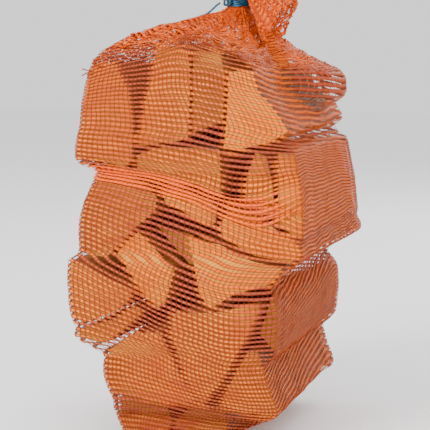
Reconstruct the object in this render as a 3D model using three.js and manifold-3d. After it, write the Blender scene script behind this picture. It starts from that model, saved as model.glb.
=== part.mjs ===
// A net sack of split beech firewood, tied at the neck and standing on its base.
// Millimetres, +Z up. The logs lie along Y, so their sawn ends face -Y (the front) and +Y.
// The origin is on the floor, under the middle of the sack.

import * as THREE from "three";
import { mergeVertices } from "three/addons/utils/BufferGeometryUtils.js";
import Module from "manifold-3d";

// Logs
const LOG_LENGTH = 250;
const LOG_FRONT = -125;
const LOG_STEPS = 2;
const MOST_TWIST_DEG = 1.1;
const SMALL_END = 0.97;

// Net sack
const WALL = 1.5;
const SLACK = 1.3;
const SIDE_POINTS = 11;
const RING_POINTS = 4 * SIDE_POINTS;
const CORNER_SHARE = 3 / SIDE_POINTS;
const CORNER_RADIUS = 2.6;
const LEVEL_STEP = 15;
const FOOT_RISE = 4;
const BODY_FOOT = 14;
const BODY_TOP = 374;
const STEEPEST_LEDGE = 1.3;
const PROBE_STEP = 5;
const PROBE_TOP = 425;
const FOOT_SHRINK = [0.55, 0.992, 0.998];
const SHOULDER_STEPS = [0.5, 1];
const TENT_STEPS = [0.12, 0.26, 0.42, 0.6, 0.8];
const TENT_SECOND_SHARE = 0.72;

// Neck, where the net is gathered and tied, and the mouth that spreads above it
const NECK = new THREE.Vector3(27, 0, 462);
const NECK_RADIUS = 11;
const NECK_HALF_HEIGHT = 7;
const MOUTH = [
  { at: [35, -2, 477], radius: 17, lean: 22 },
  { at: [50, -5, 480], radius: 22, lean: 50 },
  { at: [70, -8, 473], radius: 25, lean: 82 },
  { at: [86, -10, 457], radius: 26, lean: 112 },
  { at: [95, -10, 441], radius: 27, lean: 132 },
];

// Twine round the neck, its knot and the loose end that lies on the net and goes back into it
const TWINE_DIAMETER = 2.2;
const TWINE_TURNS = 4;
const TWINE_GAP = 0.5;
const KNOT_SIZE = [6.5, 5, 5.5];
const KNOT_ANGLE_DEG = 240;
const KNOT_SINK = 0.7;
const TURN_VALLEY = 0.55;
const TIE_SIDES = 24;
const TWINE_SIDES = 8;
const STEP_IN_DIAMETERS = 2.5;
const TWINE_END = [
  [11.2, -16.4, 461],
  [7.8, -18, 458.4],
  [3.6, -19.4, 454.2],
  [-2, -20.4, 449.6],
  [-10, -21, 446.4],
  [-18, -21, 444.2],
  [-28, -21, 441.7],
  [-38, -20, 439.1],
  [-46, -17.8, 436.9],
  [-52, -15.4, 434.8],
];

// Each log by its sawn face, seen from the front: corners as [x, z], how far the front end
// stands back, and the corners that the round bark side starts at. Some are cut shorter. A log's
// back end may be narrower by a share (pinch), lie to the side (drift), lean over at its top
// (lean) or be thicker downwards (drop).
const LOGS = [
  {
    name: "log_top_left",
    face: [
      [-87, 398], [-64, 397], [-50, 371], [-46, 344],
      [-47, 300], [-55, 293], [-105, 301], [-101, 333],
    ],
    back: -6,
    bark: [6, 7],
  },
  {
    name: "log_top_middle",
    face: [[-20, 417], [14.5, 414], [16.5, 380], [14.5, 321], [-41, 312], [-36, 344], [-32, 366], [-26, 383]],
    back: -4,
    bark: [0],
    drop: 0.5,
  },
  {
    name: "log_top_centre",
    face: [[18, 412], [48, 408], [51, 390], [51, 365], [49, 341], [17, 329]],
    back: -2,
    bark: [0],
    drop: 9,
  },
  {
    name: "log_top_right",
    face: [[56, 393], [82, 393], [88, 372], [120, 332], [99, 320], [62, 311], [51, 315], [54, 339]],
    back: -7,
    bark: [2],
    pinch: 0.17,
  },
  {
    name: "log_upper_middle",
    face: [[-44, 305], [-9, 315], [46, 313], [47, 265], [21, 276], [-20, 278], [-44, 291]],
    back: 0,
    bark: [0],
  },
  {
    name: "log_upper_right",
    face: [[82, 312], [94, 308], [100, 284], [103, 250], [70, 259], [72, 286]],
    back: 3,
    bark: [],
    drift: -4,
    lean: 9,
  },
  {
    name: "log_right",
    face: [[106, 312], [124, 310], [131, 262], [133, 226], [122, 229], [106, 238]],
    back: 0,
    bark: [],
    pinch: 0.2,
    lean: 13,
  },
  {
    name: "log_middle_right",
    face: [[44, 234], [58, 256], [82, 249], [126, 223], [134, 208], [122, 200], [83, 206], [51, 223]],
    back: -3,
    bark: [3],
  },
  {
    name: "log_centre_large",
    face: [[15, 221], [47, 217], [82, 201], [113, 196], [101, 179], [62, 166], [37, 150], [25, 165]],
    back: -5,
    bark: [3],
    pinch: 0.16,
  },
  {
    name: "log_centre_back",
    face: [[-36, 232], [10, 221], [17, 188], [4, 189]],
    back: 26,
    length: 222,
    bark: [],
  },
  {
    name: "log_left_upper",
    face: [
      [-77, 290], [-51, 288], [-22, 262], [-24, 248], [-46, 230],
      [-79, 197], [-104, 201], [-105, 231], [-94, 266],
    ],
    back: 0,
    bark: [7, 8],
  },
  {
    name: "log_centre_small",
    face: [[-18, 271], [11, 270], [43, 256], [42, 237], [32, 233], [14, 243], [-16, 258]],
    back: 2,
    bark: [],
  },
  {
    name: "log_middle_left",
    face: [[-67, 203], [-43, 226], [-3, 188], [-14, 150], [-22, 146], [-39, 161]],
    back: 1,
    bark: [],
  },
  {
    name: "log_left",
    face: [
      [-117, 193], [-98, 187], [-47, 164], [-50, 154],
      [-69, 139], [-104, 126], [-113, 131], [-117, 159],
    ],
    back: -4,
    bark: [6, 7],
    drop: 3.5,
  },
  {
    name: "log_left_low",
    face: [
      [-112, 116], [-99, 108], [-80, 106], [-58, 123],
      [-36, 144], [-47, 149], [-68, 134], [-104, 121],
    ],
    back: 0,
    bark: [0],
    drift: 6,
    drop: 2.5,
  },
  {
    name: "log_low_left",
    face: [[-71, 55], [-20, 49], [22, 48], [5, 79], [-17, 123], [-46, 121], [-75, 102], [-79, 76]],
    back: -2,
    bark: [6, 7],
  },
  {
    name: "log_low_middle",
    face: [
      [29, 49], [51, 79], [70, 113], [90, 153], [84, 158],
      [41, 147], [-2, 144], [-6, 123], [5, 93], [17, 67],
    ],
    back: -6,
    bark: [],
  },
  {
    name: "log_low_right",
    face: [[47, 49], [95, 39], [109, 46], [101, 64], [93, 90], [87, 107], [76, 110], [60, 80], [50, 61]],
    back: 1,
    bark: [1, 2],
    pinch: 0.17,
  },
  {
    name: "log_right_low",
    face: [[82, 122], [92, 111], [102, 102], [106, 126], [106, 160], [99, 171], [94, 158]],
    back: 20,
    length: 232,
    bark: [2, 3],
  },
  {
    name: "log_bottom_left",
    face: [[-60, 3], [-18, 3], [-12, 25], [-20, 44], [-68, 50], [-73, 28]],
    back: 18,
    length: 230,
    bark: [5],
  },
  {
    name: "log_bottom_right",
    face: [[-4, 3], [38, 3], [48, 20], [46, 44], [12, 44], [-8, 24]],
    back: 16,
    length: 232,
    bark: [1],
  },
];
const BARK_BULGE = 0.05;
const BARK_STEPS = 3;

// Where the net leaves the upright sides and turns in towards the neck, by direction round the
// sack: degrees from +X, anticlockwise from above, the height there, the shares of the way in and
// up that the curve first heads for, and how far below the neck it heads for next.
const SHOULDER = [
  [-180, 378, 0.05, 0.75, 22],
  [-137, 384, 0.05, 0.75, 22],
  [-115, 404, 0.08, 0.5, 28],
  [-90, 420, 0.08, 0.4, 32],
  [-72, 418, 0.08, 0.4, 32],
  [-45, 395, 0.15, 0.3, 32],
  [0, 388, 0.35, 0.2, 32],
  [45, 390, 0.35, 0.2, 32],
  [72, 416, 0.08, 0.4, 32],
  [90, 420, 0.08, 0.4, 32],
  [115, 404, 0.08, 0.5, 28],
  [137, 386, 0.05, 0.75, 22],
  [180, 378, 0.05, 0.75, 22],
];

// Slack net that stands away from the logs: where its middle is, and how far it spreads and stands out.
const EARS = [
  { x: 1, y: 42, z: 378, wide: 74, tall: 30, out: 46 },
  { x: -1, y: -30, z: 378, wide: 90, tall: 42, out: 14 },
  { x: -1, y: -60, z: 82, wide: 100, tall: 40, out: 6 },
];
const EAR_ROUNDNESS = 0.8;

const COLOURS = {
  net: new THREE.MeshStandardMaterial({ color: 0xd9603a, roughness: 0.45, metalness: 0 }),
  beech: new THREE.MeshStandardMaterial({ color: 0xd9b07a, roughness: 0.8, metalness: 0 }),
  twine: new THREE.MeshStandardMaterial({ color: 0x1f7296, roughness: 0.5, metalness: 0 }),
};

const wasm = await Module();
wasm.setup();

function named(name, geometry, material) {
  const mesh = new THREE.Mesh(geometry, material);
  mesh.name = name;
  return mesh;
}

// A log's sawn face as a shape whose bark edges bulge outwards.
function faceShape(log) {
  const corners = log.face.map(([x, z]) => new THREE.Vector2(x, z));
  const turn = THREE.ShapeUtils.isClockWise(corners) ? 1 : -1;
  const shape = new THREE.Shape();
  shape.moveTo(corners[0].x, corners[0].y);
  corners.forEach((from, i) => {
    const to = corners[(i + 1) % corners.length];
    if (log.bark.includes(i)) {
      const along = to.clone().sub(from);
      const out = new THREE.Vector2(-along.y, along.x).multiplyScalar(turn * 2 * BARK_BULGE);
      const middle = from.clone().add(to).multiplyScalar(0.5).add(out);
      shape.quadraticCurveTo(middle.x, middle.y, to.x, to.y);
    } else {
      shape.lineTo(to.x, to.y);
    }
  });
  return shape;
}

// How far a point of the face is moved at the log's back end, sideways and up.
function movedBack(log, x, z) {
  const left = Math.min(...log.face.map(([a]) => a));
  const low = Math.min(...log.face.map(([, b]) => b));
  const high = Math.max(...log.face.map(([, b]) => b));
  const height = (z - low) / (high - low);
  const sideways = (log.drift ?? 0) - (x - left) * (log.pinch ?? 0) - height * (log.lean ?? 0);
  return [sideways, (height - 1) * (log.drop ?? 0)];
}

// A split log: its face run along Y, with a slight twist and one end a little smaller.
function splitLog(log, index) {
  const length = log.length ?? LOG_LENGTH;
  const geometry = new THREE.ExtrudeGeometry(faceShape(log), {
    depth: length,
    steps: LOG_STEPS,
    bevelEnabled: false,
    curveSegments: BARK_STEPS,
  });
  const middle = faceMiddle(log);
  const twist = THREE.MathUtils.degToRad(MOST_TWIST_DEG) * Math.sin(index * 2.4);
  const thinBack = index % 2 === 0;
  const place = geometry.getAttribute("position");
  for (let i = 0; i < place.count; i++) {
    const t = 1 - place.getZ(i) / length;
    const size = 1 - (1 - SMALL_END) * (thinBack ? t : 1 - t);
    const turn = twist * (t - 0.5);
    const dx = (place.getX(i) - middle.x) * size;
    const dz = (place.getY(i) - middle.y) * size;
    const x = middle.x + dx * Math.cos(turn) - dz * Math.sin(turn);
    const z = middle.y + dx * Math.sin(turn) + dz * Math.cos(turn);
    const [movedX, movedZ] = movedBack(log, x, z);
    place.setX(i, x + movedX * t);
    place.setY(i, z + movedZ * t);
  }
  geometry.rotateX(Math.PI / 2);
  geometry.translate(0, length, 0);
  const mesh = named(log.name, geometry, COLOURS.beech);
  mesh.position.y = LOG_FRONT + log.back;
  return mesh;
}

function faceMiddle(log) {
  const sum = log.face.reduce(([a, b], [x, z]) => [a + x, b + z], [0, 0]);
  return new THREE.Vector2(sum[0], sum[1]).divideScalar(log.face.length);
}

function nothingYet() {
  return { left: Infinity, rightFront: -Infinity, rightBack: -Infinity, front: Infinity, back: -Infinity };
}

// How far the logs reach between two heights, as the four sides that the taut net lies on. The
// right side runs askew where the logs there are pinched.
function pileBetween(low, high) {
  const pile = nothingYet();
  for (const log of LOGS) {
    const outline = faceShape(log).getPoints(BARK_STEPS);
    outline.forEach(({ x, y: z }, i) => {
      const { x: x2, y: z2 } = outline[(i + 1) % outline.length];
      for (const cut of [low, high, z]) {
        const t = (cut - z) / (z2 - z || 1);
        if (cut < low || cut > high || t < 0 || t > 1) continue;
        const across = x + t * (x2 - x);
        const front = LOG_FRONT + log.back;
        pile.left = Math.min(pile.left, across);
        pile.rightFront = Math.max(pile.rightFront, across);
        pile.rightBack = Math.max(pile.rightBack, across + movedBack(log, across, cut)[0]);
        pile.front = Math.min(pile.front, front);
        pile.back = Math.max(pile.back, front + (log.length ?? LOG_LENGTH));
      }
    });
  }
  return pile;
}

const PROBES = [];
for (let z = 0; z <= PROBE_TOP; z += PROBE_STEP) {
  PROBES.push({ z, pile: pileBetween(z - LEVEL_STEP, z + LEVEL_STEP) });
}

// The taut net's section at a height: it follows the pile, but no ledge is steeper than STEEPEST_LEDGE.
function sectionAt(z) {
  const section = nothingYet();
  for (const { z: level, pile } of PROBES) {
    const inwards = Math.max(0, Math.abs(z - level) - PROBE_STEP) * STEEPEST_LEDGE;
    section.left = Math.min(section.left, pile.left + inwards);
    section.rightFront = Math.max(section.rightFront, pile.rightFront - inwards);
    section.rightBack = Math.max(section.rightBack, pile.rightBack - inwards);
    section.front = Math.min(section.front, pile.front + inwards);
    section.back = Math.max(section.back, pile.back - inwards);
  }
  return section;
}

// A point of the section with its corners rounded, for a number in the ring, starting at the left.
function ringPoint(section, index, grow) {
  const side = Math.floor(index / SIDE_POINTS);
  const along = (index % SIDE_POINTS) / SIDE_POINTS;
  const inset = CORNER_RADIUS;
  const centres = [
    [section.left + inset, section.front + inset],
    [section.rightFront - inset, section.front + inset],
    [section.rightBack - inset, section.back - inset],
    [section.left + inset, section.back - inset],
  ];
  const radius = CORNER_RADIUS + grow;
  const start = Math.PI + (side * Math.PI) / 2;
  const [x, y] = centres[side];
  if (along < CORNER_SHARE) {
    const angle = start + (along / CORNER_SHARE) * (Math.PI / 2);
    return new THREE.Vector2(x + radius * Math.cos(angle), y + radius * Math.sin(angle));
  }
  const [nextX, nextY] = centres[(side + 1) % 4];
  const t = (along - CORNER_SHARE) / (1 - CORNER_SHARE);
  const out = start + Math.PI / 2;
  return new THREE.Vector2(
    x + (nextX - x) * t + radius * Math.cos(out),
    y + (nextY - y) * t + radius * Math.sin(out),
  );
}

// The shoulder's height and handles in the direction of a point of the section.
function shoulderTowards(point) {
  const angle = THREE.MathUtils.radToDeg(Math.atan2(point.y, point.x));
  const next = Math.max(1, SHOULDER.findIndex(([a]) => a >= angle));
  const before = SHOULDER[next - 1];
  const after = SHOULDER[next];
  const share = (angle - before[0]) / (after[0] - before[0]);
  const between = (value, i) => THREE.MathUtils.lerp(value, after[i], share);
  const [, height, along, rise, below] = before.map(between);
  return { height, along, rise, below };
}

// Slack net pushed outwards along X where an ear stands away from the logs.
function withEars(point) {
  for (const ear of EARS) {
    if (Math.sign(point.x) !== ear.x) continue;
    const far = ((point.y - ear.y) / ear.wide) ** 2 + ((point.z - ear.z) / ear.tall) ** 2;
    point.x += ear.x * ear.out * Math.max(0, 1 - far) ** EAR_ROUNDNESS;
  }
  return point;
}

function bodyPoint(index, z, grow) {
  const flat = ringPoint(sectionAt(z), index, SLACK + grow);
  return withEars(new THREE.Vector3(flat.x, flat.y, z));
}

// Rings from the base up, as functions of the point's number in the ring and the wall's offset.
function sackRings() {
  const rings = [];
  FOOT_SHRINK.forEach((shrink, level) => {
    rings.push((index, grow) => {
      const flat = ringPoint(sectionAt(BODY_FOOT), index, SLACK + grow);
      const rise = level < 2 ? WALL - grow : FOOT_RISE + (WALL - grow) / 2;
      return new THREE.Vector3(flat.x * shrink, flat.y * shrink, rise);
    });
  });
  for (let z = BODY_FOOT; z <= BODY_TOP + 1; z += LEVEL_STEP) {
    rings.push((index, grow) => bodyPoint(index, z, grow));
  }
  for (const share of SHOULDER_STEPS) {
    rings.push((index, grow) => {
      const { height } = shoulderTowards(ringPoint(sectionAt(BODY_TOP), index, 0));
      return bodyPoint(index, THREE.MathUtils.lerp(BODY_TOP, height, share), grow);
    });
  }
  for (const t of TENT_STEPS) {
    rings.push((index, grow) => shoulderCurve(index, grow).getPoint(t));
  }
  for (const rise of [-NECK_HALF_HEIGHT, NECK_HALF_HEIGHT]) {
    rings.push((index, grow) => neckPoint(index, grow, rise));
  }
  for (const hoop of MOUTH) {
    rings.push((index, grow) => mouthPoint(index, grow, hoop));
  }
  return rings;
}

function neckAngle(index) {
  const p = ringPoint(sectionAt(BODY_TOP), index, 0);
  return Math.atan2(p.y, p.x);
}

function neckPoint(index, grow, rise) {
  const angle = neckAngle(index);
  const radius = NECK_RADIUS - WALL + grow;
  return NECK.clone().add(
    new THREE.Vector3(radius * Math.cos(angle), radius * Math.sin(angle), rise),
  );
}

function mouthPoint(index, grow, hoop) {
  const angle = neckAngle(index);
  const radius = hoop.radius - WALL + grow;
  const lean = THREE.MathUtils.degToRad(hoop.lean);
  const p = new THREE.Vector3(radius * Math.cos(angle), radius * Math.sin(angle), 0);
  p.applyAxisAngle(new THREE.Vector3(0, 1, 0), lean);
  return p.add(new THREE.Vector3(...hoop.at));
}

// The net from the top of the upright side over the log tops and up to the neck.
function shoulderCurve(index, grow) {
  const shoulder = shoulderTowards(ringPoint(sectionAt(BODY_TOP), index, 0));
  const from = bodyPoint(index, shoulder.height, grow);
  const to = neckPoint(index, grow, -NECK_HALF_HEIGHT);
  const first = from.clone().lerp(to, shoulder.along).setZ(from.z + shoulder.rise * (to.z - from.z));
  const second = from.clone().lerp(to, TENT_SECOND_SHARE).setZ(to.z - shoulder.below + grow);
  return new THREE.CubicBezierCurve3(from, first, second, to);
}

// The sack: rings of the outside from the base up to the mouth, and of the inside back down.
function netSack() {
  const rings = sackRings();
  const outside = rings.map((ring) => (index) => ring(index, WALL));
  const inside = rings.map((ring) => (index) => ring(index, 0)).reverse();
  const all = [...outside, ...inside];
  const profile = [new THREE.Vector2(0, 0)];
  all.forEach((ring, i) => profile.push(new THREE.Vector2(1, i)));
  profile.push(new THREE.Vector2(0, all.length));
  const geometry = new THREE.LatheGeometry(profile, RING_POINTS);
  const place = geometry.getAttribute("position");
  for (let i = 0; i < place.count; i++) {
    const ring = (i % profile.length) - 1;
    const index = Math.floor(i / profile.length) % RING_POINTS;
    const p =
      ring < 0 ? new THREE.Vector3(0, 0, 0)
      : ring >= all.length ? new THREE.Vector3(0, 0, WALL)
      : all[ring](index);
    place.setXYZ(i, p.x, p.y, p.z);
  }
  return geometry;
}

function toSolid(geometry) {
  const bare = geometry.clone();
  bare.deleteAttribute("normal");
  bare.deleteAttribute("uv");
  const merged = mergeVertices(bare, 1e-3);
  return new wasm.Manifold(
    new wasm.Mesh({
      numProp: 3,
      vertProperties: merged.getAttribute("position").array,
      triVerts: new Uint32Array(merged.index.array),
    }),
  );
}

function toGeometry(solid) {
  const mesh = solid.getMesh();
  const geometry = new THREE.BufferGeometry();
  geometry.setAttribute("position", new THREE.BufferAttribute(mesh.vertProperties, 3));
  geometry.setIndex(new THREE.BufferAttribute(mesh.triVerts, 1));
  return geometry;
}

// The twine's turns round the neck, lying on each other, with the knot at one side.
function neckTie() {
  const inner = NECK_RADIUS + TWINE_GAP;
  const half = (TWINE_TURNS * TWINE_DIAMETER) / 2;
  const profile = [new THREE.Vector2(inner, -half)];
  for (let turn = 0; turn < TWINE_TURNS; turn++) {
    const low = -half + turn * TWINE_DIAMETER;
    profile.push(new THREE.Vector2(inner + TWINE_DIAMETER * TURN_VALLEY, low));
    profile.push(new THREE.Vector2(inner + TWINE_DIAMETER, low + TWINE_DIAMETER / 2));
  }
  profile.push(new THREE.Vector2(inner + TWINE_DIAMETER * TURN_VALLEY, half));
  profile.push(new THREE.Vector2(inner, half));
  profile.push(profile[0].clone());
  const turns = new THREE.LatheGeometry(profile, TIE_SIDES);
  turns.rotateX(Math.PI / 2);
  turns.translate(NECK.x, NECK.y, NECK.z);
  const knot = new THREE.SphereGeometry(1, 12, 8);
  knot.scale(...KNOT_SIZE);
  const angle = THREE.MathUtils.degToRad(KNOT_ANGLE_DEG);
  const out = inner + TWINE_DIAMETER + KNOT_SIZE[1] * KNOT_SINK;
  knot.translate(NECK.x + out * Math.cos(angle), NECK.y + out * Math.sin(angle), NECK.z);
  return toGeometry(toSolid(turns).add(toSolid(knot)));
}

// The loose end of the twine along its route.
function twineEnd() {
  const path = new THREE.CatmullRomCurve3(TWINE_END.map((p) => new THREE.Vector3(...p)));
  const section = new THREE.Shape();
  for (let i = 0; i < TWINE_SIDES; i++) {
    const angle = (i / TWINE_SIDES) * 2 * Math.PI;
    const x = (TWINE_DIAMETER / 2) * Math.cos(angle);
    const y = (TWINE_DIAMETER / 2) * Math.sin(angle);
    if (i) section.lineTo(x, y);
    else section.moveTo(x, y);
  }
  const steps = Math.round(path.getLength() / (STEP_IN_DIAMETERS * TWINE_DIAMETER));
  return new THREE.ExtrudeGeometry(section, { extrudePath: path, steps, bevelEnabled: false });
}

// The origin is under the middle of the whole sack's box.
function centred(parts) {
  const group = new THREE.Group();
  group.add(...parts);
  group.updateMatrixWorld(true);
  const sack = group.getObjectByName("net_sack");
  const box = new THREE.Box3().setFromObject(sack, true);
  const middle = box.getCenter(new THREE.Vector3());
  group.position.set(-middle.x, -middle.y, -box.min.z);
  const outer = new THREE.Group();
  outer.add(group);
  return outer;
}

const sack = centred([
  named("net_sack", netSack(), COLOURS.net),
  ...LOGS.map((log, index) => splitLog(log, index)),
  named("neck_tie", neckTie(), COLOURS.twine),
  named("twine_end", twineEnd(), COLOURS.twine),
]);

export default sack;
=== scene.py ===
"""A net sack of split beech firewood, tied at the neck with blue twine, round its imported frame."""

import math

import bmesh
import bpy
import numpy as np
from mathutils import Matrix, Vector, noise
from mathutils.bvhtree import BVHTree


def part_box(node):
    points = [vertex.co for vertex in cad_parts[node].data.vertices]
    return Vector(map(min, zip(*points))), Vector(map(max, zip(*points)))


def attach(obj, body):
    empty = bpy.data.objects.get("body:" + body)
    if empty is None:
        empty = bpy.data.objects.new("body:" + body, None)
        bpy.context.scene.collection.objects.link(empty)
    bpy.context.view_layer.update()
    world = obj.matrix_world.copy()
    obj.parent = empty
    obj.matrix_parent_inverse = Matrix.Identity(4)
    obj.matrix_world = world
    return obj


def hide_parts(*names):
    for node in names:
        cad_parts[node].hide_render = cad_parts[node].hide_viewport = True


bl_info = {
    "name": "Firewood net sack",
    "version": (1, 0, 0),
    "blender": (4, 5, 0),
    "location": "View3D > Sidebar > Firewood",
    "description": "Builds a net sack of split beech logs, its twine, a floor and soft light",
    "category": "Object",
}

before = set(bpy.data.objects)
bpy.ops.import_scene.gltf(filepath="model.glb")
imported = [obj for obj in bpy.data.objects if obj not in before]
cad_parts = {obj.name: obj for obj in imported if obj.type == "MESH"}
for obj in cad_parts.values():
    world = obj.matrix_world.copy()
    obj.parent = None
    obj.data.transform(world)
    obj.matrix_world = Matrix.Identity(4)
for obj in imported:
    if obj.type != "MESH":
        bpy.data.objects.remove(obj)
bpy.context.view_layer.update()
LOG_NODES = sorted(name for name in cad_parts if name.startswith("log_"))
MM = 0.001

# What spreads the values of noise from about -1 to 1.
NOISE_TO_ONE = 1.6

# The neck and the offset of the frame's origin come from the tied turns, which are round it.
NECK_RADIUS = 11 * MM
NECK_HALF_HEIGHT = 7 * MM
NECK_ASIDE = 27 * MM
TIE_REACH = 13.7 * MM
TIE_LOW, TIE_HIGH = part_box("neck_tie")
NECK = Vector((TIE_HIGH[0] - TIE_REACH, TIE_HIGH[1] - TIE_REACH, (TIE_LOW[2] + TIE_HIGH[2]) / 2))
SHIFT = Vector((NECK.x - NECK_ASIDE, NECK.y, 0))

# The loose end of the twine, point by point as the CAD model has it, before the origin's shift.
TWINE_ROUTE_MM = [
    (11.2, -16.4, 461),
    (7.8, -18, 458.4),
    (3.6, -19.4, 454.2),
    (-2, -20.4, 449.6),
    (-10, -21, 446.4),
    (-18, -21, 444.2),
    (-28, -21, 441.7),
    (-38, -20, 439.1),
    (-46, -17.8, 436.9),
    (-52, -15.4, 434.8),
]

# Where the net leaves the upright sides: direction round the sack in degrees, height in mm, the
# shares of the way in and up that it first heads for, and how far below the neck it heads for next.
SHOULDER = [
    (-180, 378, 0.05, 0.75, 22),
    (-137, 384, 0.05, 0.75, 22),
    (-115, 404, 0.08, 0.5, 28),
    (-90, 420, 0.08, 0.4, 32),
    (-72, 418, 0.08, 0.4, 32),
    (-45, 395, 0.15, 0.3, 32),
    (0, 388, 0.35, 0.2, 32),
    (45, 390, 0.35, 0.2, 32),
    (72, 416, 0.08, 0.4, 32),
    (90, 420, 0.08, 0.4, 32),
    (115, 404, 0.08, 0.5, 28),
    (137, 386, 0.05, 0.75, 22),
    (180, 378, 0.05, 0.75, 22),
]
TENT_SECOND_SHARE = 0.72

# Slack net that stands away from the logs: side, middle along Y and up, spread along Y and up, and
# reach, in mm. It starts this far from the middle of the sack.
EARS_MM = [
    (1, 42, 378, 74, 30, 50),
    (-1, -30, 378, 90, 42, 8),
]
EARS_FROM = 40 * MM

# The mouth of the net above the tie, as hoops: middle, radius and lean in degrees.
MOUTH_MM = [
    ((27, 0, 469), 11, 0),
    ((33, -3, 474), 17, 25),
    ((43, -8, 471), 23, 58),
    ((57, -12, 461), 27, 90),
    ((70, -14, 446), 30, 110),
    ((79, -14, 433), 32, 122),
]

# Columns of the net: warp threads from the front left corner, across the front, along the right
# side, across the back and along the left side.
FRONT_COLUMNS = 40
SIDE_COLUMNS = 44
COLUMNS = 2 * (FRONT_COLUMNS + SIDE_COLUMNS)
CORNERS = (0, FRONT_COLUMNS, FRONT_COLUMNS + SIDE_COLUMNS, 2 * FRONT_COLUMNS + SIDE_COLUMNS)

# Rows of the drape's lattice: underside, upright sides, shoulder up to the neck, neck, mouth.
BASE_ROWS, BODY_ROWS, TENT_ROWS, NECK_ROWS, MOUTH_ROWS = 14, 140, 48, 4, 24
FOOT_Z = 2.4 * MM

# Where the tapes run. Each line has the number of tapes up to it and its height in mm at ten
# stations: front left corner, three on the front, front right corner, middle of the right side,
# back right corner, middle of the back, back left corner, middle of the left side.
STATIONS = (0, 10, 20, 30, 40, 62, 84, 104, 124, 146)
COURSES = [
    (12, (0, 0, 0, 0, 0, 0, 0, 0, 0, 0)),
    (17, (100, 88, 75, 64, 66, 95, 125, 112, 100, 100)),
    (15, (200, 172, 150, 132, 138, 168, 190, 195, 200, 202)),
    (9, (246, 226, 206, 190, 190, 200, 208, 236, 246, 250)),
    (8, (281, 273, 260, 239, 223, 226, 228, 262, 276, 282)),
    (13, (295, 288, 275, 257, 284, 278, 272, 290, 298, 298)),
    (12, (350, 348, 345, 337, 322, 312, 305, 336, 352, 352)),
]
SHOULDER_COURSES, TENT_COURSES, NECK_COURSES, MOUTH_COURSES = 13, 30, 4, 17

# What changes round the sack, as columns and the values there: how much a column is on the right
# side or on the left one, how much the net is lapped over itself, and how strongly its tapes wave.
ON_RIGHT = ((0, 39, 44, 80, 86, COLUMNS), (0, 0, 1, 1, 0, 0))
ON_LEFT = ((0, 5, 122, 128, COLUMNS), (1, 0, 0, 1, 1))
FOLDED = ((0, 32, 40, 84, 127, 142, COLUMNS), (1, 1, 0, 0, 0, 1, 1))
WAVING = ((0, 38, 45, 79, 87, 119, COLUMNS), (0.5, 0.5, 0.9, 1.0, 0.6, 0.7, 0.5))

# The net is lapped over itself from this line of COURSES to the next: up, down and up again. Each
# layer lies this much further out, and the tapes above come back down to the logs.
FOLD_LINE = 5
FOLD_LIFT = 1.3 * MM
FOLD_TAIL = 12

# Waves of the tapes: long ones, short ones, and how much shorter the short ones are on the right.
LONG_WAVE, SHORT_WAVE, RIGHT_CALMS = 1.9 * MM, 0.9 * MM, 0.65
TAPE_LIFT = 0.35 * MM

# Where the net bunches up: column, height, and how far it spreads in columns and in mm.
BUNCHES = [(47, 178, 5, 12), (75, 214, 7, 12), (44, 262, 4, 14), (164, 392, 9, 16), (62, 382, 14, 18)]
CURL = 1.5 * MM
# The net is slack from some tapes below the shoulder's end, and comes in over some more. Gathered
# net looks lapped over itself.
SLACK_BELOW, SLACK_TAPES = 3, 8
GATHERED_LAP, GATHERED_TAPES = 0.8, 14

# How a tape lies. Shares of its width are lost where it wanders and where it is lapped. It fills
# more of its spacing on the left side and on the right one, upright or above, where it also is
# wider. One edge stands proud of the other, and both roll more where the net is slack.
WANDER_NARROWS, LAP_NARROWS = 0.22, 0.4
LEFT_FILLS, RIGHT_FILLS_UPRIGHT, RIGHT_FILLS_ABOVE = 0.3, 0.46, 0.24
RIGHT_WIDENS = 0.35
EDGE_PROUD, EDGE_ROLL, SLACK_ROLL, RIGHT_ROLL = 0.2 * MM, 0.35 * MM, 0.8 * MM, 0.8 * MM
# The right side counts as upright up to this many tapes above the fold.
UPRIGHT_PAST_FOLD = 10
# How threads lie on the tapes, and how much they hide.
THREAD_PROUD, THREAD_SWAY, THREAD_OPACITY = 0.42 * MM, 0.8 * MM, 0.95

# Tufts of broken threads: rows above the shoulder, column, threads, reach in mm and direction.
TUFTS = [(-4, 165, 8, 8, (-0.75, -0.2, 0.35)), (0, 58, 6, 5, (0.9, -0.2, 0.1))]
FRAY_STEPS, FRAY_WIDTHS = 8, 1.8

# Each log: how light it looks through the net, from 0 to 1, partly its own colour and partly painted shade
# on the recessed and lowest logs, the direction of its bark in degrees from +X seen from the front, and
# whether it has any bark.
LOGS = {
    "log_top_left": (0.5, 180, True),
    "log_top_middle": (0.55, 90, True),
    "log_top_centre": (0.3, 90, True),
    "log_top_right": (1, 40, True),
    "log_upper_middle": (0.6, 110, True),
    "log_upper_right": (0.75, 60, False),
    "log_right": (0.8, 0, False),
    "log_middle_right": (0.8, 20, True),
    "log_centre_large": (0.8, -50, True),
    "log_centre_back": (0.25, 100, False),
    "log_left_upper": (0.35, 155, True),
    "log_centre_small": (0.9, 75, False),
    "log_middle_left": (0.85, 140, False),
    "log_left": (0.5, 180, True),
    "log_left_low": (0.55, 240, True),
    "log_low_left": (0.5, 185, True),
    "log_low_middle": (0.45, 80, False),
    "log_low_right": (0.6, 0, True),
    "log_right_low": (0.65, 0, True),
    "log_bottom_left": (0.25, 200, True),
    "log_bottom_right": (0.2, -30, True),
}

# How far some logs swell upwards in the middle of their length.
SWELL_MM = {"log_upper_middle": 6, "log_low_left": 9, "log_left_low": 5}

# A log's mesh: from what angle an edge is rounded, how much longer its cells are along the grain,
# how far the pith is from its middle as a share of its size, how deep bark and saw marks are, and
# how far its ridges may stand out.
SHARP_EDGE = math.radians(24)
CELLS_ALONG = 3.2
PITH_SHARE = 0.6
BARK_DEPTH, SAW_DEPTH, MOST_PROUD = 0.9 * MM, 0.3 * MM, 0.25 * MM

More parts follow.
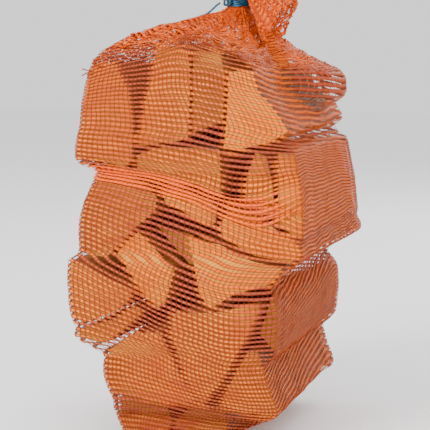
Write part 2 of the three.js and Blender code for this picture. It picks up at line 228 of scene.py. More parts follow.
# Where the twine is knotted, as a direction round the neck, the size of the knot and how far it
# stands out, how the turns lie, and the steps of the twine's curves.
KNOT_DIRECTION = math.radians(240)
KNOT_WIDE, KNOT_DEEP, KNOT_TALL, KNOT_OUT = 4.2 * MM, 1.6 * MM, 3.2 * MM, 3.4 * MM
TURN_PITCH, TURN_LEAN, TURN_GAP = 0.92, 0.6 * MM, 0.5 * MM
TURN_STEPS, KNOT_STEPS, ROUTE_STEPS = 40, 60, 3

# The lamps: place, size and power. All of them are aimed at the middle of the sack.
LAMPS = {
    "key": ((-0.9, -1.9, 1.5), 1.1, 72),
    "fill": ((1.6, -1.5, 0.9), 1.8, 24),
    "rim": ((0.6, 1.8, 1.6), 1.5, 30),
}
LAMP_AIM = Vector((0, 0, 0.22))
WORLD_STRENGTH = 1.25
SENSOR_WIDTH = 36
FLOOR_SIZE = 6


# Settings

class NetSettings(bpy.types.PropertyGroup):
    """Sizes and colours of the woven net."""

    tape_width: bpy.props.FloatProperty(
        name="Tape width", description="Width of a weft tape", default=5.0 * MM, unit="LENGTH",
    )
    flat_share: bpy.props.FloatProperty(
        name="Flat share", description="Share of the spacing that a tape fills on wood",
        default=0.82, subtype="FACTOR",
    )
    free_share: bpy.props.FloatProperty(
        name="Free share", default=0.5, subtype="FACTOR",
        description="Share of the spacing that a tape fills over a gap, where it curls up",
    )
    tape_thickness: bpy.props.FloatProperty(
        name="Tape thickness", description="Thickness of a weft tape", default=0.3 * MM, unit="LENGTH",
    )
    thread_width: bpy.props.FloatProperty(
        name="Thread width", description="Width of a warp thread", default=0.7 * MM, unit="LENGTH",
    )
    girth: bpy.props.FloatProperty(
        name="Girth", description="Width of the empty sack, front and back together",
        default=1.0, unit="LENGTH",
    )
    lower_length: bpy.props.FloatProperty(
        name="Lower length", description="Length of the lower part of the empty sack",
        default=0.42, unit="LENGTH",
    )
    upper_length: bpy.props.FloatProperty(
        name="Upper length", description="Length of the upper part of the empty sack",
        default=0.38, unit="LENGTH",
    )
    cover: bpy.props.FloatProperty(
        name="Cover", description="Share of the net that is tape", default=0.58, subtype="FACTOR",
    )
    slack: bpy.props.FloatProperty(
        name="Slack", description="Space between the taut net and the logs",
        default=1.4 * MM, unit="LENGTH",
    )
    # Painted light and shade: a tape is painted lit orange with wood close behind it, and darker, as
    # painted shade, over a gap between logs.
    over_wood: bpy.props.FloatVectorProperty(
        name="Over wood", description="Colour of a tape with wood behind it",
        subtype="COLOR", default=(0.97, 0.168, 0.0),
    )
    over_gap_shade: bpy.props.FloatVectorProperty(
        name="Over a gap", description="Colour of a tape with a gap behind it",
        subtype="COLOR", default=(0.34, 0.055, 0.028),
    )
    # Painted highlight: this colour is painted into the middle of each cell between threads as a glint.
    painted_glint: bpy.props.FloatVectorProperty(
        name="Glint", description="Colour of the light spots between threads",
        subtype="COLOR", default=(1.0, 0.47, 0.04),
    )
    thread: bpy.props.FloatVectorProperty(
        name="Thread", description="Colour of the threads",
        subtype="COLOR", default=(0.30, 0.034, 0.006),
    )
    lapped: bpy.props.FloatVectorProperty(
        name="Lapped", description="Colour of the net where it is lapped over itself",
        subtype="COLOR", default=(1.0, 0.12, 0.004),
    )
    side_thread: bpy.props.FloatVectorProperty(
        name="Side thread", description="Colour of the threads along the right side",
        subtype="COLOR", default=(0.75, 0.13, 0.014),
    )
    opacity: bpy.props.FloatProperty(
        name="Opacity", description="How much a tape hides what is behind it",
        default=0.72, subtype="FACTOR",
    )


class WoodSettings(bpy.types.PropertyGroup):
    """Sizes and colours of the split beech."""

    cell: bpy.props.FloatProperty(
        name="Cell", description="Size of the mesh across the grain", default=4.5 * MM, unit="LENGTH",
    )
    edge: bpy.props.FloatProperty(
        name="Edge", description="Rounding of the log's edges", default=1.2 * MM, unit="LENGTH",
    )
    fibre_depth: bpy.props.FloatProperty(
        name="Fibre depth", description="Depth of the ridges on a split face",
        default=1.8 * MM, unit="LENGTH",
    )
    ring_spacing: bpy.props.FloatProperty(
        name="Ring spacing", description="Width of a year's growth", default=2.6 * MM, unit="LENGTH",
    )
    sawn: bpy.props.FloatVectorProperty(
        name="Sawn", description="Colour of the sawn ends", subtype="COLOR", default=(0.93, 0.38, 0.04),
    )
    split: bpy.props.FloatVectorProperty(
        name="Split", description="Colour of the split faces",
        subtype="COLOR", default=(0.38, 0.15, 0.035),
    )
    stain: bpy.props.FloatVectorProperty(
        name="Stain", description="Colour of the blotches on the sawn ends", subtype="COLOR",
        default=(0.60, 0.24, 0.05),
    )
    # Partly painted shade: the sawn ends of the darkest logs, the recessed and lowest ones among them, are
    # painted towards this darker colour.
    dim_and_shaded: bpy.props.FloatVectorProperty(
        name="Dim", description="Colour of the sawn ends of the darkest logs", subtype="COLOR",
        default=(0.40, 0.15, 0.03),
    )
    bark: bpy.props.FloatVectorProperty(
        name="Bark", description="Colour of the bark", subtype="COLOR", default=(0.13, 0.105, 0.075),
    )


class TwineSettings(bpy.types.PropertyGroup):
    """Sizes and colour of the twine."""

    diameter: bpy.props.FloatProperty(
        name="Diameter", description="Thickness of the twine", default=2.2 * MM, unit="LENGTH",
    )
    turns: bpy.props.IntProperty(
        name="Turns", description="Turns of twine round the neck", default=4,
    )
    colour: bpy.props.FloatVectorProperty(
        name="Colour", description="Colour of the twine", subtype="COLOR", default=(0.005, 0.075, 0.14),
    )


class StageSettings(bpy.types.PropertyGroup):
    """The camera, the floor and the light."""

    azimuth: bpy.props.FloatProperty(
        name="Azimuth", description="Direction of the camera round the sack",
        default=math.radians(18), subtype="ANGLE",
    )
    elevation: bpy.props.FloatProperty(
        name="Elevation", description="Height of the camera above the level",
        default=math.radians(7), subtype="ANGLE",
    )
    distance: bpy.props.FloatProperty(
        name="Distance", description="Distance of the camera", default=1.7, unit="LENGTH",
    )
    aim_height: bpy.props.FloatProperty(
        name="Aim height", description="Height that the camera looks at", default=0.230, unit="LENGTH",
    )
    lens: bpy.props.FloatProperty(
        name="Lens", description="Focal length in millimetres", default=129.4,
    )
    floor: bpy.props.FloatVectorProperty(
        name="Floor", description="Colour of the floor", subtype="COLOR", default=(0.95, 0.95, 0.95),
    )


# Shader maths

class Value:
    """A shader socket with arithmetic: every operator adds a Math node."""

    def __init__(self, tree, socket):
        self.tree = tree
        self.socket = socket

    def _maths(self, operation, *inputs):
        node = self.tree.node("ShaderNodeMath", {"operation": operation}, dict(enumerate(inputs)))
        return Value(self.tree, node.outputs[0])

    def __add__(self, other):
        return self._maths("ADD", self, other)

    __radd__ = __add__

    def __sub__(self, other):
        return self._maths("SUBTRACT", self, other)

    def __rsub__(self, other):
        return self._maths("SUBTRACT", other, self)

    def __mul__(self, other):
        return self._maths("MULTIPLY", self, other)

    __rmul__ = __mul__

    def __pow__(self, other):
        return self._maths("POWER", self, other)

    def sine(self):
        return self._maths("SINE", self)

    def cosine(self):
        return self._maths("COSINE", self)

    def limited(self, low, high):
        """This value taken from the range to 0 to 1, smoothly, and held at the ends."""
        settings = {"interpolation_type": "SMOOTHSTEP"}
        node = self.tree.node("ShaderNodeMapRange", settings, {0: self, 1: low, 2: high})
        return Value(self.tree, node.outputs[0])


class Surface:
    """A material's node tree: constants are names of the shader's sockets, with _ for a space."""

    def __init__(self, name, **constants):
        self.material = bpy.data.materials.new(name)
        self.material.use_nodes = True
        self.nodes = self.material.node_tree.nodes
        self.links = self.material.node_tree.links
        self.shader = self.nodes["Principled BSDF"]
        for socket, value in constants.items():
            self.shader.inputs[socket.replace("_", " ")].default_value = value

    def node(self, kind, settings=None, inputs=None):
        """Adds a node of a kind: its settings first, then the values or links of its sockets."""
        node = self.nodes.new(kind)
        for name, value in (settings or {}).items():
            setattr(node, name, value)
        for key, value in (inputs or {}).items():
            socket = node.inputs[key]
            if isinstance(value, Value):
                self.links.new(value.socket, socket)
            elif isinstance(value, bpy.types.NodeSocket):
                self.links.new(value, socket)
            else:
                socket.default_value = value
        return node

    def value(self, socket):
        return Value(self, socket)

    def attribute(self, name, output="Vector"):
        return self.node("ShaderNodeAttribute", {"attribute_name": name}).outputs[output]

    def strip_map(self):
        """The piece's own UV map: along a tape or twine, and over or round it."""
        return self.node("ShaderNodeTexCoord").outputs["UV"]

    def parts(self, vector):
        """The three numbers of a vector socket."""
        outputs = self.node("ShaderNodeSeparateXYZ", {}, {0: vector}).outputs
        return [self.value(outputs[axis]) for axis in range(3)]

    def noise(self, scale, detail, roughness=0.55, turn=(0, 0, 0)):
        """Noise over the object, with its grain finer along the axes that have a larger scale."""
        inputs = {"Vector": self.node("ShaderNodeTexCoord").outputs["Object"], "Scale": scale}
        inputs["Rotation"] = turn
        where = self.node("ShaderNodeMapping", {}, inputs).outputs[0]
        inputs = {"Vector": where, "Scale": 1.0, "Detail": detail, "Roughness": roughness}
        return self.value(self.node("ShaderNodeTexNoise", {}, inputs).outputs["Fac"])

    def mix(self, factor, first, second):
        """Mixes two colours and gives the socket of the result."""
        first = first if isinstance(first, bpy.types.NodeSocket) else (*first, 1)
        second = second if isinstance(second, bpy.types.NodeSocket) else (*second, 1)
        inputs = {0: factor, 6: first, 7: second}
        return self.node("ShaderNodeMix", {"data_type": "RGBA"}, inputs).outputs[2]

    def feed(self, name, value):
        self.links.new(value.socket if isinstance(value, Value) else value, self.shader.inputs[name])

    def bump(self, height, distance, strength):
        inputs = {"Height": height, "Distance": distance, "Strength": strength}
        self.links.new(self.node("ShaderNodeBump", {}, inputs).outputs[0], self.shader.inputs["Normal"])


def shade(colour, factor):
    """A colour made darker, or paler up to white."""
    return [min(1, channel * factor) for channel in colour]


# Helpers for meshes

def placed(mesh_or_curve, name, material, node):
    """Puts finished data in the scene as a piece that rides on the root body, for a CAD node."""
    piece = bpy.data.objects.new(name, mesh_or_curve)
    bpy.context.scene.collection.objects.link(piece)
    mesh_or_curve.materials.append(material)
    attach(piece, "root")
    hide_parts(node)
    return piece


def coordinates(mesh):
    flat = np.empty(3 * len(mesh.vertices), np.float32)
    mesh.vertices.foreach_get("co", flat)
    return flat.reshape(-1, 3).astype(float)


def set_coordinates(mesh, points):
    mesh.vertices.foreach_set("co", points.astype(np.float32).ravel())
    mesh.update()


def merged_copy(node):
    """A bmesh of a CAD node with its loose triangles joined."""
    work = bmesh.new()
    work.from_mesh(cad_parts[node].data)
    bmesh.ops.remove_doubles(work, verts=work.verts, dist=0.01 * MM)
    return work


def smoothed(values, passes, axis, closed):
    """Averages an array with its neighbours along one axis, a number of times."""
    for _ in range(passes):
        before, after = np.roll(values, 1, axis), np.roll(values, -1, axis)
        if not closed:
            first = [slice(None)] * values.ndim
            last = list(first)
            first[axis], last[axis] = 0, -1
            before[tuple(first)] = values[tuple(first)]
            after[tuple(last)] = values[tuple(last)]
        values = 0.5 * values + 0.25 * (before + after)
    return values


def wander(rows, across, along, seed):
    """Smooth noise from about -1 to 1 on a grid of rows and columns that closes round the sack.

    across is the number of waves round the sack, and along the part of one from row to row."""
    angle = np.arange(COLUMNS) * (2 * math.pi / COLUMNS)
    radius = across / (2 * math.pi)
    grid = np.empty((rows, COLUMNS))
    for row in range(rows):
        height = row * along + 3.1 * seed
        for column in range(COLUMNS):
            spot = (radius * math.cos(angle[column]), radius * math.sin(angle[column]) + seed, height)
            grid[row, column] = noise.noise(spot)
    return grid * NOISE_TO_ONE


def round_sack(stations, values):
    """Values for all columns, taken straight from one station to the next."""
    return np.interp(np.arange(COLUMNS), stations, values)


# The drape: where the net lies, as a lattice of points

class Pile:
    """The logs as one solid to cast rays at, and how far they reach at each height."""

    STEP = 2 * MM
    ABOVE = 40 * MM
    LEDGE_ROUNDING = 3 * MM
    NEARNESS = 1.35

    def __init__(self):
        vertices, faces, starts, ends, self.tones_and_shades = [], [], [], [], []
        for node in LOG_NODES:
            work = merged_copy(node)
            offset = len(vertices)
            vertices += [vertex.co.copy() for vertex in work.verts]
            faces += [[offset + vertex.index for vertex in face.verts] for face in work.faces]
            self.tones_and_shades += [LOGS[node][0]] * len(work.faces)
            for edge in work.edges:
                starts.append(edge.verts[0].co[:])
                ends.append(edge.verts[1].co[:])
            work.free()
        self.tree = BVHTree.FromPolygons(vertices, faces)
        self.starts, self.ends = np.array(starts), np.array(ends)
        top = max(vertex.z for vertex in vertices)
        self.heights = np.arange(0, top + self.ABOVE, self.STEP)
        self.sides = self.reach()

    def reach(self):
        """Per height: left front, left back, right front, right back, front and back, all outwards."""
        rows = np.full((len(self.heights), 6), -1.0)
        low = np.minimum(self.starts[:, 2], self.ends[:, 2])
        high = np.maximum(self.starts[:, 2], self.ends[:, 2])
        rise = self.ends[:, 2] - self.starts[:, 2]
        for row, height in enumerate(self.heights):
            cut = (low <= height) & (high > height)
            if not cut.any():
                continue
            share = (height - self.starts[cut, 2]) / rise[cut]
            points = self.starts[cut] + share[:, None] * (self.ends[cut] - self.starts[cut])
            x, y = points[:, 0], points[:, 1]
            front, back = y < 0, y >= 0
            rows[row] = (-x[front].min(), -x[back].min(), x[front].max(), x[back].max(), -y.min(), y.max())
        return rows

    def eased(self, slopes):
        """The reach with no ledge steeper than its side's slope, and a little rounded."""
        gap = np.abs(self.heights[:, None] - self.heights[None, :])
        gap = np.maximum(gap - self.LEDGE_ROUNDING, 0)
        eased = np.empty_like(self.sides)
        for side, slope in enumerate(slopes):
            eased[:, side] = (self.sides[:, side][None, :] - slope * gap).max(axis=1)
        return np.maximum(eased, smoothed(eased, 4, 0, False))

    def depth(self, start, direction, farthest):
        """How far the logs are from a point in a direction, up to the farthest."""
        hit = self.tree.ray_cast(start, direction, farthest)
        return farthest if hit[0] is None else hit[3]

    def behind(self, start, direction, farthest):
        """How close wood is behind a point of the net, from 0 to 1, and how light that wood is, its tone
        with painted shade; these set the net's painted light and shade there.
        """
        hit = self.tree.ray_cast(start, direction, farthest)
        if hit[0] is None:
            return 0.0, 0.5
        near = min(1, max(0, self.NEARNESS * (1 - hit[3] / farthest)))
        return near, self.tones_and_shades[hit[2]]


class Drape:
    """The net's place over the logs: a lattice of points, with rows up the sack and columns round it."""

    # The steepest ledge that the net follows: left front, left back, right front, right back,
    # front and back. How deep it sags between logs, and what draws it in at each of its steps.
    SLOPES = (3.2, 3.2, 1.9, 1.9, 2.2, 2.2)
    MOST_SAG, FIRST_SAG, CORNER_SAG = 16 * MM, 8 * MM, 1 * MM
    PRESSURE = 0.05 * MM
    DRAW_STEPS = 240
    PULL_UP, PULL_LEVEL = 0.28, 0.22
    # How a corner's columns turn the direction into the sack: columns from it, and weight.
    CORNER_WEIGHTS = ((-2, 0.15), (-1, 0.4), (0, 1.0), (1, 0.4), (2, 0.15))
    # The seam under the sack: its height, and its shares of the foot's width and depth.
    SEAM_Z, SEAM_WIDTH, SEAM_DEPTH = 0.9 * MM, 0.02, 0.86
    # Folds and curls of the gathered net, with the height at which its columns are shared out.
    GATHER_Z = 374 * MM
    TENT_CURLS, TENT_PLEATS, NECK_PLEATS = 2.4 * MM, 7 * MM, 0.8 * MM
    TENT_END, NECK_DRAWN_IN = 0.9 * NECK_RADIUS, 0.86 * NECK_RADIUS
    # The mouth's pleats at the tie, what they and its curls grow by, and its curls along the net.
    MOUTH_PLEATS, MOUTH_PLEATS_GROW, MOUTH_CURLS, MOUTH_WAVES = 1 * MM, 3.2 * MM, 2 * MM, 2.5 * MM
    # Rays down on the logs start here and go this far.
    RAY_Z, RAY_DOWN = 0.6, 0.4
    # Rays from the net to the wood behind: start above the net, reach, and steps to either side.
    RAY_ABOVE, RAY_REACH, RAY_ASIDE = 3 * MM, 22 * MM, 2.4 * MM
    # Gathered net is painted like net over light wood, a painted light against the shade of its pleats:
    # rows over which this comes in, and its strength.
    GATHER_FROM, GATHER_ROWS, GATHER_TONE = 4, 14, 0.85

    def __init__(self, slack):
        self.slack = slack
        self.pile = Pile()
        self.reach = self.pile.eased(self.SLOPES)
        self.share, self.inwards = self.columns()
        self.curves = self.shoulder_curves()
        self.shoulder = self.curves[:, 0]
        body = self.body()
        tent = self.tent(body[-1])
        neck = self.neck()
        mouth = self.mouth()
        self.points = np.concatenate([self.underside(body[0]), body, tent, neck, mouth])
        self.body_start = BASE_ROWS
        self.tent_start = BASE_ROWS + BODY_ROWS
        self.neck_start = self.tent_start + TENT_ROWS
        self.mouth_start = self.neck_start + NECK_ROWS
        self.rows = len(self.points)
        self.last_row = self.rows - 1.001
        self.normals, self.across, self.spacing = self.directions()
        self.wood = self.wood_behind()

    def columns(self):
        """Each column's side and share along it, and the horizontal direction into the sack."""
        share = np.zeros((COLUMNS, 2))
        inwards = np.zeros((COLUMNS, 2))
        lengths = (FRONT_COLUMNS, SIDE_COLUMNS, FRONT_COLUMNS, SIDE_COLUMNS)
        into = ((0, 1), (-1, 0), (0, -1), (1, 0))
        column = 0
        for side in range(4):
            for step in range(lengths[side]):
                share[column] = (side, step / lengths[side])
                inwards[column] = into[side]
                column += 1
        for side, corner in enumerate(CORNERS):
            both = np.array(into[side]) + np.array(into[side - 1])
            for offset, weight in self.CORNER_WEIGHTS:
                inwards[(corner + offset) % COLUMNS] += weight * both
        inwards /= np.linalg.norm(inwards, axis=1)[:, None]
        return share, inwards

    def outline(self, heights):
        """Points round the eased pile: one row per line of the array of heights."""
        reach = [np.interp(heights, self.pile.heights, self.reach[:, side]) for side in range(6)]
        sides = [distance + self.slack for distance in reach]
        left_front, left_back, right_front, right_back, front, back = sides
        share = self.share[:, 1][None, :]
        corners = [(-left_front, -front), (right_front, -front), (right_back, back), (-left_back, back)]
        x, y = np.zeros(heights.shape), np.zeros(heights.shape)
        for side in range(4):
            mask = self.share[:, 0] == side
            (x0, y0), (x1, y1) = corners[side], corners[(side + 1) % 4]
            part = share[:, mask]
            x[:, mask] = x0[:, mask] + (x1 - x0)[:, mask] * part
            y[:, mask] = y0[:, mask] + (y1 - y0)[:, mask] * part
        return x, y

    def shoulder_curves(self):
        """Per column: the shoulder's height, and the handles of the curve from it to the neck."""
        degrees = np.degrees(self.ring_angles())
        table = np.array(SHOULDER)
        curves = np.stack([np.interp(degrees, table[:, 0], table[:, k]) for k in range(1, 5)], axis=1)
        curves[:, 0] *= MM
        curves[:, 3] *= MM
        return smoothed(curves, 6, 0, True)

    def body(self):
        """The upright sides: the eased outline, drawn in until it is taut on the logs."""
        rise = np.linspace(0, 1, BODY_ROWS)[:, None]
        z = FOOT_Z + (self.shoulder[None, :] - FOOT_Z) * rise
        x, y = self.outline(z)
        free = np.empty_like(z)
        for row in range(BODY_ROWS):
            for column in range(COLUMNS):
                into = Vector((*self.inwards[column], 0))
                start = Vector((x[row, column], y[row, column], z[row, column])) - into * MM
                free[row, column] = self.pile.depth(start, into, self.MOST_SAG + 4 * MM) - MM
        free = np.clip(free - self.slack, 0, self.MOST_SAG)
        for axis in (0, 1):
            free = np.minimum(free, np.minimum(np.roll(free, 1, axis), np.roll(free, -1, axis)))
        free[0] = 0
        for corner in CORNERS:
            for offset in (-1, 0, 1):
                column = (corner + offset) % COLUMNS
                free[:, column] = np.minimum(free[:, column], self.CORNER_SAG)
        drawn = np.minimum(free, self.FIRST_SAG)
        for _ in range(self.DRAW_STEPS):
            up, down = np.roll(drawn, -1, 0), np.roll(drawn, 1, 0)
            up[-1], down[0] = drawn[-1], drawn[0]
            level = np.roll(drawn, 1, 1) + np.roll(drawn, -1, 1)
            pulled = self.PULL_UP * (up + down) + self.PULL_LEVEL * level + self.PRESSURE
            drawn = np.minimum(free, pulled)
        x += drawn * self.inwards[:, 0][None, :]
        y += drawn * self.inwards[:, 1][None, :]
        return self.with_ears(np.stack([x, y, z], axis=2))

    def with_ears(self, points):
        """Stands the slack corners of the sack out from the logs."""
        for side, y, z, wide, tall, out in EARS_MM:
            along = ((points[..., 1] - SHIFT.y) / MM - y) / wide
            up = (points[..., 2] / MM - z) / tall
            reach = side * out * MM * np.maximum(0, 1 - along**2 - up**2) ** 0.8
            points[..., 0] += np.where(side * points[..., 0] > EARS_FROM, reach, 0)
        return points

    def underside(self, foot):
        """The bottom of the sack, drawn together to a seam along the middle."""
        middle = foot[:, 0].min() + (foot[:, 0].max() - foot[:, 0].min()) / 2
        rows = []
        for row in range(BASE_ROWS):
            share = row / BASE_ROWS
            ring = foot.copy()
            ring[:, 0] = middle + (foot[:, 0] - middle) * (self.SEAM_WIDTH + (1 - self.SEAM_WIDTH) * share)
            ring[:, 1] = foot[:, 1] * (self.SEAM_DEPTH + (1 - self.SEAM_DEPTH) * share)
            ring[:, 2] = self.SEAM_Z + (foot[:, 2] - self.SEAM_Z) * share**8
            rows.append(ring)
        return np.array(rows)

    def ring_angles(self):
        """Each column's direction from the neck."""
        x, y = self.outline(np.full((1, COLUMNS), self.GATHER_Z))
        return np.arctan2(y[0] - SHIFT.y, x[0] - SHIFT.x)

    def pleats(self, rows):
        """Folds that run up to the neck, as noise from -1 to 1."""
        return wander(rows, 34, 0.05, 1.7)

    def tent(self, shoulder):
        """From the shoulder over the logs' tops to the neck, in pleats."""
        angle = self.ring_angles()
        neck = np.stack([
            NECK.x + self.TENT_END * np.cos(angle),
            NECK.y + self.TENT_END * np.sin(angle),
            np.full(COLUMNS, NECK.z - NECK_HALF_HEIGHT),
        ], axis=1)
        rise = neck[:, 2] - shoulder[:, 2]
        first = shoulder + self.curves[:, 1:2] * (neck - shoulder)
        first[:, 2] = shoulder[:, 2] + self.curves[:, 2] * rise
        second = shoulder + TENT_SECOND_SHARE * (neck - shoulder)
        second[:, 2] = neck[:, 2] - self.curves[:, 3]
        steps = (np.arange(TENT_ROWS) + 1) / (TENT_ROWS + 1)
        t = steps[:, None, None]
        points = (1 - t) ** 3 * shoulder + 3 * (1 - t) ** 2 * t * first
        points = points + 3 * (1 - t) * t**2 * second + t**3 * neck
        pleats = self.pleats(TENT_ROWS)
        crumple = wander(TENT_ROWS, 60, 0.4, 5.2)
        swell = np.sin(np.pi * steps**0.8)[:, None]
        near_neck = (steps**1.5 * (1 - steps) * 3)[:, None]
        points[..., 2] += swell * self.TENT_CURLS * crumple + near_neck * self.TENT_PLEATS * pleats
        for row in range(TENT_ROWS):
            for column in range(COLUMNS):
                x, y, z = points[row, column]
                gap = self.pile.depth(Vector((x, y, self.RAY_Z)), Vector((0, 0, -1)), self.RAY_DOWN)
                if gap < self.RAY_DOWN:
                    points[row, column, 2] = max(z, self.RAY_Z - gap + self.slack)
        return points

    def neck(self):
        """The net inside the turns of twine."""
        angle = self.ring_angles()
        pleats = self.pleats(NECK_ROWS)
        rows = []
        for row in range(NECK_ROWS):
            rise = NECK.z - NECK_HALF_HEIGHT + 2 * NECK_HALF_HEIGHT * (row + 0.5) / NECK_ROWS
            radius = self.NECK_DRAWN_IN + self.NECK_PLEATS * pleats[row]
            rows.append(np.stack([
                NECK.x + radius * np.cos(angle), NECK.y + radius * np.sin(angle), np.full(COLUMNS, rise),
            ], axis=1))
        return np.array(rows)

    def mouth(self):
        """The loose net above the tie, which spreads and flops over to the right."""
        angle = self.ring_angles()
        hoops = np.array([(*middle, radius, math.radians(lean)) for middle, radius, lean in MOUTH_MM])
        hoops[:, :4] *= MM
        places = np.linspace(0, len(hoops) - 1, MOUTH_ROWS)
        between = [np.interp(places, range(len(hoops)), hoops[:, column]) for column in range(5)]
        values = smoothed(np.stack(between, 1), 4, 0, False)
        pleats = self.pleats(MOUTH_ROWS)
        crumple = wander(MOUTH_ROWS, 26, 0.35, 9.4)
        rows = []
        for row, (x, y, z, radius, lean) in enumerate(values):
            share = row / (MOUTH_ROWS - 1)
            wide = radius - MM + (self.MOUTH_PLEATS + self.MOUTH_PLEATS_GROW * share) * pleats[row]
            wide = wide + self.MOUTH_CURLS * share * crumple[row]
            along = self.MOUTH_WAVES * share * crumple[row]
            across = wide * np.cos(angle)
            rows.append(np.stack([
                x + SHIFT.x + across * math.cos(lean) + along * math.sin(lean),
                y + SHIFT.y + wide * np.sin(angle),
                z - across * math.sin(lean) + along * math.cos(lean),
            ], axis=1))
        return np.array(rows)

    def directions(self):
        """Per lattice point: the outward normal, the way round the sack, and how far the next row is."""
        across = np.roll(self.points, -1, 1) - np.roll(self.points, 1, 1)
        across = across / np.linalg.norm(across, axis=2)[..., None]
        up = np.gradient(self.points, axis=0)
        normals = np.cross(across, up)
        normals /= np.linalg.norm(normals, axis=2)[..., None] + 1e-12
        return normals, across, np.linalg.norm(up, axis=2) + 1e-9

    def wood_behind(self):
        """Per lattice point: how close the wood is behind the net, and how light it is; these set the
        net's painted light and shade.
        """
        values = np.zeros((self.rows, COLUMNS, 2))
        values[..., 1] = 0.5
        for row in range(self.neck_start):
            for column in range(COLUMNS):
                normal = Vector(self.normals[row, column])
                across = Vector(self.across[row, column])
                start = Vector(self.points[row, column]) + normal * self.RAY_ABOVE
                values[row, column] = max(
                    self.pile.behind(start + across * aside, -normal, self.RAY_REACH)
                    for aside in (-self.RAY_ASIDE, 0, self.RAY_ASIDE)
                )
        # Painted light: the gathered net at the top is painted as if light wood were close behind it.
        rows_above = np.arange(self.rows) - self.tent_start + self.GATHER_FROM
        gathered = np.clip(rows_above / self.GATHER_ROWS, 0, 1)[:, None]
        values[..., 0] = np.maximum(values[..., 0], gathered)
        values[..., 1] += (self.GATHER_TONE - values[..., 1]) * self.GATHER_TONE * gathered
        return values

    def sample(self, grid, rows):
        """Values of a lattice grid at fractional rows, one row index per line and column."""
        low = np.clip(np.floor(rows).astype(int), 0, self.rows - 2)
        share = rows - low
        columns = np.arange(COLUMNS)[None, :]
        if grid.ndim == 3:
            share = share[..., None]
        return grid[low, columns] * (1 - share) + grid[low + 1, columns] * share


class Weave:
    """Where each tape runs on the drape: fractional lattice rows, one line per tape."""

    def __init__(self, drape):
        self.drape = drape
        self.rows = self.courses()
        self.count = len(self.rows)
        self.lift = np.zeros_like(self.rows)
        self.lap = np.zeros_like(self.rows)
        self.right, self.left = round_sack(*ON_RIGHT), round_sack(*ON_LEFT)
        self.fold()
        self.ripple()

    def courses(self):
        """The tapes' rows before they wave, from the lines of COURSES and the parts above them."""
        drape = self.drape
        lines, numbers, number = [np.zeros(COLUMNS)], [0], 0
        for count, heights in COURSES:
            number += count
            height = round_sack((*STATIONS, COLUMNS), (*heights, heights[0]))
            height = smoothed(height, 14, 0, True) * MM
            share = np.maximum(height - FOOT_Z, 0) / (drape.shoulder - FOOT_Z)
            lines.append(drape.body_start + share * (BODY_ROWS - 1))
            numbers.append(number)
        for count, row in (
            (SHOULDER_COURSES, drape.tent_start - 1),
            (TENT_COURSES, drape.neck_start),
            (NECK_COURSES, drape.mouth_start),
            (MOUTH_COURSES, drape.rows - 1),
        ):
            number += count
            lines.append(np.full(COLUMNS, float(row)))
            numbers.append(number)
        self.fold_from, self.fold_to = numbers[FOLD_LINE], numbers[FOLD_LINE + 1]
        lines = np.array(lines)
        tapes = np.arange(number) + 0.5
        rows = np.stack([np.interp(tapes, numbers, lines[:, column]) for column in range(COLUMNS)], axis=1)
        return smoothed(rows, 2, 0, False)

    def fold(self):
        """The net lapped over itself in a band across the upper front and round the left corner."""
        fade = smoothed(round_sack(*FOLDED), 8, 0, True)
        low, high = self.rows[self.fold_from].copy(), self.rows[self.fold_to - 1].copy()
        for tape in range(self.fold_from, self.fold_to):
            share = (tape - self.fold_from) / (self.fold_to - self.fold_from - 1)
            up = 1 - abs(1 - (3 * share) % 2) if share < 1 else 1
            lapped = low + (high - low) * up
            self.rows[tape] += fade * (lapped - self.rows[tape])
            layer = min(2, max(0, 3 * share - 0.5))
            self.lift[tape] += fade * FOLD_LIFT * layer
            self.lap[tape] = fade * min(1, layer)
        for tape in range(FOLD_TAIL):
            self.lift[self.fold_to + tape] += fade * FOLD_LIFT * 2 * (1 - tape / FOLD_TAIL) ** 2

    def ripple(self):
        """Small waves of the tapes, stronger along the right side."""
        slow = wander(self.count, 26, 0.06, 2.3)
        quick = wander(self.count, 90, 0.12, 7.7)
        waves = LONG_WAVE * slow + SHORT_WAVE * (1 - RIGHT_CALMS * self.right) * quick
        spacing = self.drape.sample(self.drape.spacing, self.rows)
        self.rows += waves * round_sack(*WAVING) / spacing
        self.rows = np.clip(self.rows, 0, self.drape.last_row)
        self.lift += TAPE_LIFT * (1 + quick)
        self.crumple()

    def crumple(self):
        """Short curls of the slack net: above the logs, at the mouth and where it bunches up."""
        tape, column = np.arange(self.count)[:, None], np.arange(COLUMNS)[None, :]
        tent = self.count - MOUTH_COURSES - NECK_COURSES - TENT_COURSES
        slack = np.clip((tape - tent + SLACK_BELOW) / SLACK_TAPES, 0, 1) * np.ones_like(self.rows)
        z = self.drape.sample(self.drape.points, self.rows)[..., 2] / MM
        for middle, height, wide, tall in BUNCHES:
            around = np.abs((column - middle + COLUMNS / 2) % COLUMNS - COLUMNS / 2)
            slack = np.maximum(slack, np.exp(-((around / wide) ** 2) - ((z - height) / tall) ** 2))
        curls = wander(self.count, 110, 0.45, 8.8)
        waves = wander(self.count, 70, 0.35, 12.4)
        spacing = self.drape.sample(self.drape.spacing, self.rows)
        self.lift += slack * CURL * (curls + 0.4)
        self.rows = np.clip(self.rows + slack * 1.1 * CURL * waves / spacing, 0, self.drape.last_row)
        self.slack = slack
        self.lap = np.maximum(self.lap, GATHERED_LAP * np.clip((tape - tent) / GATHERED_TAPES, 0, 1))

    def line(self, first, last):
        """The rows and the lifts of the tapes from the first up to the last."""
        return self.rows[first:last], self.lift[first:last]


# Materials

